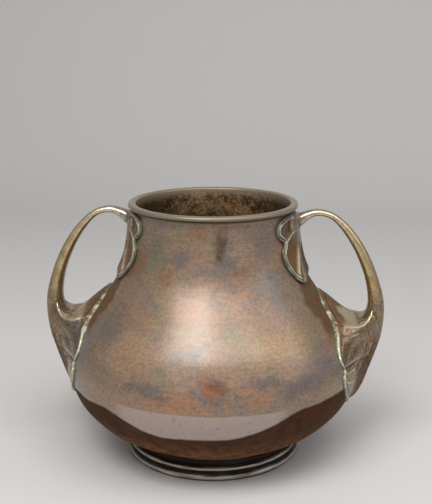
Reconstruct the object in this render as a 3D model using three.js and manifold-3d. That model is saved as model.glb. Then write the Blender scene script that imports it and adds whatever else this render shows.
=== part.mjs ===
// Bronze vase with two leaf handles
// Millimetres, Z up. The axis of the vase is Z, the foot stands on z = 0 and the handles lie
// along X. In a handle's own frame X runs outwards from the axis and Y across the handle.
import * as THREE from 'three';
import { mergeVertices } from 'three/addons/utils/BufferGeometryUtils.js';
import Module from 'manifold-3d';

const wasm = await Module();
wasm.setup();

// Driving dimensions of the vessel
const height = 220;
const rimRadius = 71.6;
const rimDepth = 4.6;
const mouthRadius = 65.1;
const neckRadius = 66.5;
const neckTop = 212;
const bellyRadius = 124.3;
const bellyHeight = 82;
const baseRadius = 69;
const footHeight = 18;
const footRadius = 76;
const wall = 2.8;
const gap = 0.3;

// Facets of the turned pieces, and how evenly their heights are spaced
const latheSides = 56;
const outsideSteps = 15;
const insideSteps = 10;
const evenShare = 0.55;
const slopeReach = 0.5;

// Outside of the body, as [height, radius] at the turns of the curve
const bodyKnots = [
  [footHeight, baseRadius],
  [26, 87.3],
  [36, 102.6],
  [56, 118.6],
  [bellyHeight, bellyRadius],
  [112, 112.6],
  [140, 92],
  [168, 74.9],
  [194, 67.6],
  [neckTop, neckRadius],
];

// Rolled rim, from its underside over the top to the mouth, as [radius, height]
const rimUnder = height - rimDepth;
const rimSection = [
  [neckRadius + 2.6, rimUnder - 0.4],
  [rimRadius - 0.9, rimUnder + 0.6],
  [rimRadius, rimUnder + 2],
  [rimRadius - 0.3, height - 1.2],
  [rimRadius - 1.8, height - 0.1],
  [mouthRadius + 1.8, height],
  [mouthRadius, height - 1.2],
  [mouthRadius - 0.6, rimUnder],
];

// Foot ring: two beads with a groove between them and a plain cove, as [radius, height]
const footInner = footRadius - 9.5;
const footCove = footRadius - 5.2;
const footTop = footHeight - gap;
const footSection = [
  [footInner, 0],
  [footRadius - 1.6, 0],
  [footRadius, 1.4],
  [footRadius - 0.2, 4.4],
  [footRadius - 2.6, 6.2],
  [footRadius - 1.8, 8],
  [footRadius - 2, 10.8],
  [footCove, 12.2],
  [footCove - 0.4, footTop],
  [footInner, footTop],
  [footInner, 0],
];

// The strap from the neck over the arch to the lower leaf: [centre x, centre z, half
// thickness, half width], one row at each turn
const strapStations = [
  [62, 202, 8.5, 8],
  [72.5, 205.2, 5.7, 6.8],
  [79, 208.9, 3.8, 5.6],
  [88.5, 211.5, 2.9, 4.7],
  [101, 208.1, 2.8, 4.8],
  [113.5, 196.2, 3.8, 5.9],
  [125, 178.6, 4.7, 7.1],
  [134, 157.4, 5.4, 8.1],
  [138.7, 136, 6.6, 9],
  [137.4, 121, 8.4, 9.2],
  [130, 106, 8, 6],
];
const strapRoundness = 2.4;
const strapSides = 12;
const strapRings = 25;

// The lower leaf, by height: its spine, the ridge beside the spine and its edge on the belly
const leafTip = 43;
const leafTop = 146;
const spineRadius = [
  [leafTip, 113], [47.5, 120.6], [53, 125.4], [63, 130.3], [75, 134.4], [91, 139.8],
  [105, 144], [120, 146.1], [134, 145.9], [leafTop, 143.6],
];
const ridgeReach = [
  [leafTip, 0.5], [53, 6.5], [63, 9.8], [78, 11.8], [95, 11], [110, 9], [125, 7], [leafTop, 5],
];
const ridgeDrop = [[leafTip, 0.6], [60, 3.4], [78, 4.4], [100, 3.6], [125, 2.4], [leafTop, 2.2]];
const edgeAngle = [
  [leafTip, 0.6], [48, 7], [54, 12.6], [60, 17.6], [66, 21.8], [73, 25], [80, 26.8], [86, 26.6],
  [91.5, 25], [96, 25.6], [101, 25.8], [110, 22.6], [122.5, 14.8], [131.5, 11.2], [139, 7.2],
  [leafTop, 0.6],
];
const sideBulge = [
  [leafTip, 0], [60, -1.6], [84, -4.2], [90, -3.6], [94, -1.6], [105, -1.6], [116, 1.4], [122, 2.6],
  [130, 0], [leafTop, 0],
];
const crownShoulder = { back: 0.72, out: 0.69 };
const bulgeTurn = 0.7;
const leafLevels = 16;
const leafSideSteps = 4;
const leafEdge = 1.6;
const leafBury = 5;

// The scoop between the strap and the belly: [x, z, bend] along its floor. By its bend the floor
// falls or rises with the square of Y, as far as its reach: it falls to both sides of the tongue
// on the belly and is a trough beside the strap
const scoopFloor = [
  [84, 160, -0.03], [87, 151, -0.03], [92, 144.5, -0.03], [97, 140.8, -0.024],
  [101.5, 137, -0.019], [105, 134, -0.016], [109, 130.6, -0.012], [114, 126, -0.0065],
  [118.5, 121, -0.002], [124, 117.6, 0.004], [128.5, 118.9, 0.005], [131.5, 122.2, 0.004],
  [134, 127, 0.002], [136, 134, 0], [138, 144, 0], [139, 170, 0],
];
const scoopReach = 27;
const scoopHalfWidth = 36;
const scoopStations = 9;
const scoopFloorSteps = 22;

// The spread leaves of the upper root on the neck: [degrees round from the handle's plane,
// height], from the top of the root round one side to the foot of its channel
const rootOutline = [
  [0, 213], [13, 212.9], [25, 212.4], [33, 210], [36.5, 204.5], [35, 197.5], [29, 191.6],
  [32.5, 185], [32.2, 177], [28.6, 167.6], [21, 158.5], [10, 161.5], [0, 164.6],
];
const rootBase = { angle: 6.5, middle: 201, halfHeight: 9.5 };
const rootRings = [0, 0.3, 0.55, 0.78, 0.93, 1];
const rootNotch = 6;
const notchWidth = 0.6;
const rootTip = 10;
const ribWidth = 0.8;
const ribHeight = 5.6;
const ribFall = 2.4;
const rootCrown = 6;
const leafBorder = 2.4;
const leafHollow = 1.1;
const hollowEnd = 0.5;
const borderStart = 0.6;
const borderEnd = 0.93;
const channelHeight = 4.6;
const channelRise = 1.6;
const rootBury = 3;
const rootBuryShare = 0.4;

const vec = (x, y, z) => new THREE.Vector3(x, y, z);
const radians = THREE.MathUtils.degToRad;

// Smooth curve through knots [position, value, ...], at one position
function smooth(knots, at, column = 1) {
  const last = knots.length - 1;
  const x = THREE.MathUtils.clamp(at, knots[0][0], knots[last][0]);
  let i = 0;
  while (i < last - 1 && x > knots[i + 1][0]) i += 1;
  const slope = (k) => {
    const before = knots[Math.max(k - 1, 0)];
    const after = knots[Math.min(k + 1, last)];
    return (after[column] - before[column]) / (after[0] - before[0]);
  };
  const width = knots[i + 1][0] - knots[i][0];
  const s = (x - knots[i][0]) / width;
  const rise = 3 * s ** 2 - 2 * s ** 3;
  const leaving = slope(i) * width * (s ** 3 - 2 * s ** 2 + s);
  const arriving = slope(i + 1) * width * (s ** 3 - s ** 2);
  return knots[i][column] * (1 - rise) + knots[i + 1][column] * rise + leaving + arriving;
}

// Smooth curve through rows of values, one row at each whole number
function smoothRows(rows, at) {
  const numbered = rows.map((row, i) => [i, ...row]);
  return rows[0].map((_, column) => smooth(numbered, at, column + 1));
}

const bodyRadius = (z) => smooth(bodyKnots, z);

// A point at an even distance outside the body's curve, or inside it where that is negative
function bodyOffset(z, offset) {
  const slope = (bodyRadius(z + slopeReach) - bodyRadius(z - slopeReach)) / (2 * slopeReach);
  const tilt = Math.hypot(1, slope);
  return [bodyRadius(z) + offset / tilt, z - (offset * slope) / tilt];
}

// A point by its angle round from the handle's plane, height and distance outside the body
function onBody(angle, z, proud) {
  const reach = bodyRadius(z) + proud;
  return vec(reach * Math.cos(radians(angle)), reach * Math.sin(radians(angle)), z);
}

// Closed solid through rings of points, fanned shut at both ends
function loft(rings) {
  const count = rings[0].length;
  const points = rings.flat();
  const faces = [];
  for (let i = 0; i + 1 < rings.length; i += 1) {
    for (let j = 0; j < count; j += 1) {
      const a = i * count + j;
      const b = i * count + ((j + 1) % count);
      faces.push(a, b, b + count, a, b + count, a + count);
    }
  }
  const cap = (ring, first, flip) => {
    const centre = ring.reduce((sum, p) => sum.add(p), vec(0, 0, 0)).divideScalar(count);
    points.push(centre);
    for (let j = 0; j < count; j += 1) {
      const next = first + ((j + 1) % count);
      if (flip) faces.push(points.length - 1, next, first + j);
      else faces.push(points.length - 1, first + j, next);
    }
  };
  cap(rings[0], 0, true);
  cap(rings[rings.length - 1], (rings.length - 1) * count, false);
  const geometry = new THREE.BufferGeometry().setFromPoints(points);
  geometry.setIndex(faces);
  return geometry;
}

function toSolid(geometry) {
  const plain = geometry.clone();
  plain.deleteAttribute('normal');
  plain.deleteAttribute('uv');
  const merged = mergeVertices(plain, 1e-4);
  return new wasm.Manifold(new wasm.Mesh({
    numProp: 3,
    vertProperties: new Float32Array(merged.attributes.position.array),
    triVerts: new Uint32Array(merged.index.array),
  }));
}

function toGeometry(solid) {
  const mesh = solid.getMesh();
  const geometry = new THREE.BufferGeometry();
  geometry.setAttribute('position', new THREE.BufferAttribute(mesh.vertProperties, 3));
  geometry.setIndex(new THREE.BufferAttribute(mesh.triVerts, 1));
  geometry.computeVertexNormals();
  return geometry;
}

function lathe(profile) {
  const points = profile.map(([radius, z]) => new THREE.Vector2(radius, z));
  return new THREE.LatheGeometry(points, latheSides).rotateX(Math.PI / 2);
}

// Heights at which the body's curve is cut into facets, closer together low down
function bodyHeights(steps) {
  return Array.from({ length: steps + 1 }, (_, i) => {
    const share = i / steps;
    const spaced = evenShare * share + (1 - evenShare) * share * share;
    return footHeight + (neckTop - footHeight) * spaced;
  });
}

// Outside of the body from the axis up to the underside of the rim, grown by an offset
function outerProfile(offset) {
  const sides = bodyHeights(outsideSteps).map((z) => bodyOffset(z, offset));
  return [[0, footHeight - offset], ...sides];
}

// Raised body: one hollow shell of even wall, open at the mouth
function vaseBody() {
  const floor = footHeight + wall;
  const inside = bodyHeights(insideSteps).map((z) => bodyOffset(z, -wall)).reverse();
  const hollow = inside.filter(([, z]) => z > floor + 1);
  return lathe([...outerProfile(0), ...rimSection, ...hollow, [baseRadius - 1, floor], [0, floor]]);
}

const footRing = () => lathe(footSection);

// Strap: a rounded bar that widens as it comes down over the arch
function strap() {
  const last = strapStations.length - 1;
  const rings = [];
  for (let i = 0; i <= strapRings; i += 1) {
    const at = (i / strapRings) * last;
    const [x, z, thick, wide] = smoothRows(strapStations, at);
    const [aheadX, aheadZ] = smoothRows(strapStations, Math.min(at + 0.01, last));
    const [behindX, behindZ] = smoothRows(strapStations, Math.max(at - 0.01, 0));
    const along = vec(aheadX - behindX, 0, aheadZ - behindZ).normalize();
    const outward = vec(-along.z, 0, along.x);
    rings.push(Array.from({ length: strapSides }, (_, j) => {
      const turn = (-2 * Math.PI * j) / strapSides;
      const power = 2 / strapRoundness;
      const across = Math.sign(Math.sin(turn)) * Math.abs(Math.sin(turn)) ** power * wide;
      const up = Math.sign(Math.cos(turn)) * Math.abs(Math.cos(turn)) ** power * thick;
      return vec(x, across, z).addScaledVector(outward, up);
    }));
  }
  return toSolid(loft(rings));
}

// One level of the lower leaf, from the spine round one side to inside the belly
function leafHalf(z) {
  const spine = smooth(spineRadius, z);
  const ridge = smooth(ridgeReach, z);
  const ridgeX = spine - smooth(ridgeDrop, z);
  const edge = onBody(smooth(edgeAngle, z), z, leafEdge);
  const least = bodyRadius(z) + leafEdge;
  const half = [vec(spine, 0, z)];
  half.push(vec(ridgeX + (spine - ridgeX) * crownShoulder.back, ridge * crownShoulder.out, z));
  for (let i = 0; i <= leafSideSteps; i += 1) {
    const share = i / leafSideSteps;
    const bulge = smooth(sideBulge, z) * bulgeTurn * Math.sin(Math.PI * share);
    const y = ridge + (edge.y - ridge) * share;
    const x = ridgeX + (edge.x - ridgeX) * share;
    const point = vec(x + bulge, y + bulge, 0);
    half.push(point.setLength(Math.max(point.length(), least)).setZ(z));
  }
  half.push(onBody(smooth(edgeAngle, z), z, -leafBury));
  return half;
}

function mirrored(half) {
  const other = half.slice(1).reverse().map((p) => vec(p.x, -p.y, p.z));
  return [...half, ...other];
}

// Lower leaf: a wedge from the spine to the belly, hollowed above by the scoop
function lowerLeaf() {
  const rings = [];
  for (let i = 0; i <= leafLevels; i += 1) {
    rings.push(mirrored(leafHalf(leafTip + ((leafTop - leafTip) * i) / leafLevels)));
  }
  return toSolid(loft(rings)).subtract(scoop());
}

// What is cut away between the strap and the belly
function scoop() {
  const last = scoopFloor.length - 1;
  const rings = [];
  for (let i = 0; i < scoopStations; i += 1) {
    const y = scoopHalfWidth * (1 - (2 * i) / (scoopStations - 1));
    const ring = [];
    for (let j = 0; j <= scoopFloorSteps; j += 1) {
      const [x, z, bend] = smoothRows(scoopFloor, (last * j) / scoopFloorSteps);
      ring.push(vec(x, y, z + bend * Math.min(Math.abs(y), scoopReach) ** 2));
    }
    rings.push(ring);
  }
  return toSolid(loft(rings));
}

// How far the root stands out from the neck, by the share of the way to its outline
function rootHeight(column, share) {
  const isRib = Math.exp(-(((column - rootTip) / ribWidth) ** 2));
  const isChannel = THREE.MathUtils.smoothstep(column, rootTip - 0.5, rootTip + 2);
  const isFold = Math.exp(-(((column - rootNotch) / notchWidth) ** 2));
  const hollow = leafHollow + (leafBorder - leafHollow) * isFold;
  const fall = THREE.MathUtils.smoothstep(share, 0, hollowEnd);
  const rise = THREE.MathUtils.smoothstep(share, borderStart, borderEnd);
  const leaf = rootCrown + (hollow - rootCrown) * fall + (leafBorder - hollow) * rise;
  const channel = channelHeight + channelRise * (1 - share);
  const rib = isRib * (ribHeight - ribFall * share);
  return Math.max(THREE.MathUtils.lerp(leaf, channel, isChannel), rib);
}

// Upper root: a sheath below the strap with a pair of hollow leaves on each side of it
function upperRoot() {
  const columns = rootOutline.length;
  const ringAt = (share, sink) => {
    const half = rootOutline.map(([angle, z], j) => {
      const turn = (Math.PI * j) / (columns - 1);
      const fromAngle = rootBase.angle * Math.sin(turn);
      const fromZ = rootBase.middle + rootBase.halfHeight * Math.cos(turn);
      const proud = sink ?? rootHeight(j, share);
      return onBody(fromAngle + (angle - fromAngle) * share, fromZ + (z - fromZ) * share, proud);
    });
    const other = half.slice(1, -1).reverse().map((p) => vec(p.x, -p.y, p.z));
    return [...half, ...other];
  };
  const face = rootRings.map((share) => ringAt(share));
  return toSolid(loft([...face, ringAt(1, -rootBury), ringAt(rootBuryShare, -rootBury)]));
}

// The vessel and its rim, filled and grown by the gap
function clearance() {
  const rimEdge = rimRadius + gap;
  const above = height + 1;
  return toSolid(lathe([...outerProfile(gap), [rimEdge, rimUnder - gap], [rimEdge, above], [0, above]]));
}

// Cast handle: strap, lower leaf and upper root in one, fitted to the body. Crumbs that the
// fitting cut leaves along the leaf's edge are dropped
function handle() {
  const fitted = strap().add(lowerLeaf()).add(upperRoot()).subtract(clearance());
  const pieces = fitted.decompose();
  return toGeometry(pieces.reduce((most, piece) => (piece.volume() > most.volume() ? piece : most)));
}

const bronze = new THREE.MeshStandardMaterial({ color: 0x6f5a44, roughness: 0.4, metalness: 0.9 });
const footBronze = new THREE.MeshStandardMaterial({ color: 0x4c4a42, roughness: 0.5, metalness: 0.85 });
const handleBronze = new THREE.MeshStandardMaterial({ color: 0x7d6a45, roughness: 0.42, metalness: 0.9 });

function named(name, geometry, material) {
  const mesh = new THREE.Mesh(geometry, material);
  mesh.name = name;
  return mesh;
}

const vase = new THREE.Group();
vase.add(named('vase_body', vaseBody(), bronze));
vase.add(named('foot_ring', footRing(), footBronze));
vase.add(named('handle_right', handle(), handleBronze));
const left = named('handle_left', handle(), handleBronze.clone());
left.rotation.z = Math.PI;
vase.add(left);

export default vase;
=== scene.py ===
"""Bronze vase with two leaf handles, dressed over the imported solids.

The vessel, its foot ring and the two cast handles are made again at a fine pitch from the
same sizes as the solids, in metres, and each stands for its own solid.
"""
import logging
import math
from dataclasses import dataclass
from enum import Enum

import bpy
import numpy as np
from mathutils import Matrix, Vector
from mathutils.kdtree import KDTree


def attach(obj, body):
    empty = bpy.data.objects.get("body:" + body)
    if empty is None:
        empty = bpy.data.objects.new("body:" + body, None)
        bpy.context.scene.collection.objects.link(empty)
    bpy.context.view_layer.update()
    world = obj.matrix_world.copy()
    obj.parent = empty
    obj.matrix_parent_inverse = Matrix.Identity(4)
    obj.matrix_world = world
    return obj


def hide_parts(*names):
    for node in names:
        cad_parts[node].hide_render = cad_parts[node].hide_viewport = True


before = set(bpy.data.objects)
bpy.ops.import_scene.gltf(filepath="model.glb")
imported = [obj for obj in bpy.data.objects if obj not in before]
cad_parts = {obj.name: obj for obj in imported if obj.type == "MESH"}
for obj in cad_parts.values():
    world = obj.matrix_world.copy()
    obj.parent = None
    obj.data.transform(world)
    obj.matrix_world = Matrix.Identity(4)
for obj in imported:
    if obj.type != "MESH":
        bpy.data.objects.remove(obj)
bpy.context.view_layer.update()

log = logging.getLogger("vase")

MM = 0.001
BODY = "root"

Thing = bpy.types.Object
Tree = bpy.types.NodeTree
Socket = bpy.types.NodeSocket
Faces = list[tuple[int, ...]]
Span = tuple[float, float]
Steps = tuple[float, ...]
Knots = tuple[tuple[float, ...], ...]
Colour = tuple[float, float, float]
Inputs = dict[str | int, object]
Found = dict[str, Socket]


class Slot(Enum):
    """The record's material slots."""

    BODY = "body_bronze"
    FOOT = "foot_bronze"
    HANDLE = "handle_bronze"


class Side(Enum):
    """Which side of the vase a handle stands on, as the sign of X."""

    RIGHT = 1
    LEFT = -1


def smooth(knots: Knots, at: np.ndarray | float, column: int = 1) -> np.ndarray:
    """Smooth curve through knots, the same rule as the solids follow.

    Args:
        knots: Rows of position and values, in rising order of position.
        at: Where to read the curve.
        column: Which value to read.

    Returns:
        The value at each place.
    """
    table = np.asarray(knots, float)
    places, values = table[:, 0], table[:, column]
    last = len(places) - 1
    x = np.clip(np.asarray(at, float), places[0], places[-1])
    i = np.clip(np.searchsorted(places, x, side="right") - 1, 0, last - 1)
    before = np.maximum(np.arange(last + 1) - 1, 0)
    after = np.minimum(np.arange(last + 1) + 1, last)
    slope = (values[after] - values[before]) / (places[after] - places[before])
    width = places[i + 1] - places[i]
    s = (x - places[i]) / width
    start = values[i] * (2 * s**3 - 3 * s**2 + 1) + slope[i] * width * (s**3 - 2 * s**2 + s)
    end = values[i + 1] * (3 * s**2 - 2 * s**3) + slope[i + 1] * width * (s**3 - s**2)
    return start + end


def smooth_rows(rows: Knots, at: np.ndarray) -> np.ndarray:
    """Smooth curve through rows of values, one row at each whole number.

    Args:
        rows: The rows of values.
        at: Places to read, in rows.

    Returns:
        One row of values for each place.
    """
    numbered = tuple((float(i), *row) for i, row in enumerate(rows))
    return np.stack([smooth(numbered, at, c + 1) for c in range(len(rows[0]))], axis=-1)


def step(value: np.ndarray, low: float, high: float) -> np.ndarray:
    """Soft step from 0 at low to 1 at high."""
    t = np.clip((np.asarray(value, float) - low) / (high - low), 0.0, 1.0)
    return t * t * (3 - 2 * t)


def bell(value: np.ndarray, centre: float | np.ndarray, width: float) -> np.ndarray:
    """Bell curve of height 1 about centre."""
    return np.exp(-(((np.asarray(value, float) - centre) / width) ** 2))


@dataclass(frozen=True)
class VesselShape:
    """Sizes of the turned vessel, in millimetres."""

    height: float = 220.0
    rim_radius: float = 71.6
    rim_depth: float = 4.6
    mouth_radius: float = 65.1
    neck_radius: float = 66.5
    neck_top: float = 212.0
    base_radius: float = 69.0
    foot_height: float = 18.0
    foot_radius: float = 76.0
    wall: float = 2.8
    knots: Knots = (
        (18, 69), (26, 87.3), (36, 102.6), (56, 118.6), (82, 124.3), (112, 112.6),
        (140, 92), (168, 74.9), (194, 67.6), (212, 66.5),
    )

    def radius(self, z: np.ndarray | float) -> np.ndarray:
        """Outside radius of the body at a height."""
        return smooth(self.knots, z)

    def slope(self, z: np.ndarray | float) -> np.ndarray:
        """Change of the outside radius for each millimetre of height."""
        return self.radius(np.asarray(z, float) + 0.5) - self.radius(np.asarray(z, float) - 0.5)

    def lift(self, points: np.ndarray) -> np.ndarray:
        """How far points stand outside the body."""
        return np.hypot(points[:, 0], points[:, 1]) - self.radius(points[:, 2])


VESSEL = VesselShape()


def mesh_object(name: str, points: np.ndarray, faces: Faces) -> Thing:
    """A new smooth-shaded mesh object in the scene.

    Args:
        name: Name of the piece.
        points: Its corners, in metres.
        faces: Corner numbers of each face.

    Returns:
        The object.
    """
    mesh = bpy.data.meshes.new(name)
    mesh.from_pydata(points.tolist(), [], faces)
    mesh.shade_smooth()
    mesh.update()
    thing = bpy.data.objects.new(name, mesh)
    bpy.context.scene.collection.objects.link(thing)
    return thing


def ring_faces(rings: int, count: int) -> Faces:
    """Quads between rings of points, closed round.

    Args:
        rings: Number of rings.
        count: Points in each ring.

    Returns:
        The faces.
    """
    faces = []
    for row in range(0, (rings - 1) * count, count):
        for j in range(count):
            nxt = (j + 1) % count
            faces.append((row + j, row + nxt, row + count + nxt, row + count + j))
    return faces


def end_fans(rings: int, count: int, first: int, last: int) -> Faces:
    """Triangles from the first and the last ring to one point each, to shut the ends.

    Args:
        rings: Number of rings.
        count: Points in each ring.
        first: Number of the point that the first ring meets.
        last: Number of the point that the last ring meets.

    Returns:
        The faces.
    """
    faces = []
    row = (rings - 1) * count
    for j in range(count):
        nxt = (j + 1) % count
        faces.append((first, nxt, j))
        faces.append((last, row + j, row + nxt))
    return faces


def lofted(name: str, rings: np.ndarray) -> Thing:
    """Closed body through rings of points, fanned shut at both ends.

    Args:
        name: Name of the piece.
        rings: Points in millimetres, as ring, place in the ring, and X, Y, Z.

    Returns:
        The object, in metres.
    """
    count, size = rings.shape[0], rings.shape[1]
    ends = np.stack([rings[0].mean(axis=0), rings[-1].mean(axis=0)])
    points = np.concatenate([rings.reshape(-1, 3), ends]) * MM
    faces = ring_faces(count, size) + end_fans(count, size, count * size, count * size + 1)
    return mesh_object(name, points, faces)


def turned(name: str, profile: np.ndarray, sides: int) -> Thing:
    """Body of revolution about Z. A profile point on the axis becomes one point.

    Args:
        name: Name of the piece.
        profile: Radius and height of each point, in millimetres.
        sides: Number of points round.

    Returns:
        The object, in metres.
    """
    on_axis = bool(profile[0, 0] < 1e-6)
    inner = profile[1:-1] if on_axis else profile
    turn = np.linspace(0, 2 * np.pi, sides, endpoint=False)
    radius, z = inner[:, :1], inner[:, 1:]
    rings = np.stack([radius * np.cos(turn), radius * np.sin(turn), z + 0 * turn], axis=-1)
    points = rings.reshape(-1, 3)
    faces = ring_faces(len(inner), sides)
    if on_axis:
        ends = np.array([[0, 0, profile[0, 1]], [0, 0, profile[-1, 1]]])
        points = np.concatenate([points, ends])
        faces += end_fans(len(inner), sides, len(points) - 2, len(points) - 1)
    else:
        row = (len(inner) - 1) * sides
        for j in range(sides):
            nxt = (j + 1) % sides
            faces.append((row + j, row + nxt, nxt, j))
    return mesh_object(name, points * MM, faces)


def arc(centre: Span, radii: Span, start: float, end: float, steps: int) -> np.ndarray:
    """Points on an elliptical arc.

    Args:
        centre: Radius and height of its middle.
        radii: Half sizes along the radius and the height.
        start: First angle, in degrees from outwards.
        end: Last angle.
        steps: Number of steps.

    Returns:
        Radius and height of each point.
    """
    turn = np.radians(np.linspace(start, end, steps + 1))
    out, up = radii[0] * np.cos(turn), radii[1] * np.sin(turn)
    return np.stack([centre[0] + out, centre[1] + up], axis=-1)


def corners(thing: Thing) -> np.ndarray:
    """Corner positions of a mesh object, in metres."""
    flat = np.empty(len(thing.data.vertices) * 3)
    thing.data.vertices.foreach_get("co", flat)
    return flat.reshape(-1, 3)


def set_corners(thing: Thing, points: np.ndarray) -> None:
    """Moves the corners of a mesh object, in metres."""
    thing.data.vertices.foreach_set("co", points.ravel())
    thing.data.update()


def normals(thing: Thing) -> np.ndarray:
    """Corner normals of a mesh object."""
    flat = np.empty(len(thing.data.vertices) * 3)
    thing.data.vertex_normals.foreach_get("vector", flat)
    return flat.reshape(-1, 3)


def set_masks(thing: Thing, masks: dict[str, np.ndarray]) -> None:
    """Keeps values from 0 to 1 at the corners of a mesh, for its material.

    Args:
        thing: The mesh object.
        masks: A value for each corner, by name of the mask.
    """
    for name, values in masks.items():
        layer = thing.data.attributes.new(name, "FLOAT", "POINT")
        layer.data.foreach_set("value", np.clip(values, 0, 1).astype(np.float32))


def joined(name: str, *parts: Thing) -> Thing:
    """One mesh object of several, with their masks. The parts are taken away.

    Args:
        name: Name of the piece.
        parts: Mesh objects that keep the same masks.

    Returns:
        The object.
    """
    kinds = ("FLOAT", "POINT")
    masks = [a.name for a in parts[0].data.attributes if (a.data_type, a.domain) == kinds]
    points, faces = [], []
    kept = {mask: [] for mask in masks}
    start = 0
    for part in parts:
        here = corners(part)
        points.append(here)
        faces.extend(tuple(start + v for v in p.vertices) for p in part.data.polygons)
        for mask in masks:
            values = np.empty(len(here), dtype=np.float32)
            part.data.attributes[mask].data.foreach_get("value", values)
            kept[mask].append(values)
        start += len(here)
    whole = mesh_object(name, np.concatenate(points), faces)
    set_masks(whole, {mask: np.concatenate(kept[mask]) for mask in masks})
    for part in parts:
        bpy.data.objects.remove(part)
    return whole


def line_distance(place: np.ndarray, line: np.ndarray) -> np.ndarray:
    """Distance of flat places from a line through points.

    Args:
        place: Places, as rows of two values.
        line: Points of the line, as rows of two values.

    Returns:
        The distance of each place from the nearest part of the line.
    """
    least = np.full(len(place), np.inf)
    for start, end in zip(line[:-1], line[1:]):
        run = end - start
        share = np.clip(((place - start) @ run) / max(float(run @ run), 1e-9), 0, 1)
        least = np.minimum(least, np.linalg.norm(place - start - share[:, None] * run, axis=1))
    return least


class Neighbours:
    """Averages over the neighbouring corners of a mesh."""

    def __init__(self, thing: Thing) -> None:
        """Reads the edges of a mesh.

        Args:
            thing: The mesh object.
        """
        flat = np.empty(len(thing.data.edges) * 2, dtype=np.int32)
        thing.data.edges.foreach_get("vertices", flat)
        pairs = flat.reshape(-1, 2)
        self.a, self.b = pairs[:, 0], pairs[:, 1]
        self.size = len(thing.data.vertices)
        count = np.bincount(self.a, minlength=self.size) + np.bincount(self.b, minlength=self.size)
        self.count = np.maximum(count, 1)

    def mean(self, values: np.ndarray) -> np.ndarray:
        """Mean of the neighbours' values, for each corner."""
        total = np.bincount(self.a, values[self.b], self.size)
        total += np.bincount(self.b, values[self.a], self.size)
        return total / self.count

    def eased(self, points: np.ndarray, rounds: int) -> np.ndarray:
        """Points or values drawn half way towards their neighbours' mean, over and over.

        Args:
            points: Values for each corner, in columns.
            rounds: How many times.

        Returns:
            The eased values.
        """
        out = points.copy()
        for _ in range(rounds):
            for c in range(out.shape[1]):
                out[:, c] += 0.5 * (self.mean(out[:, c]) - out[:, c])
        return out


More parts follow.
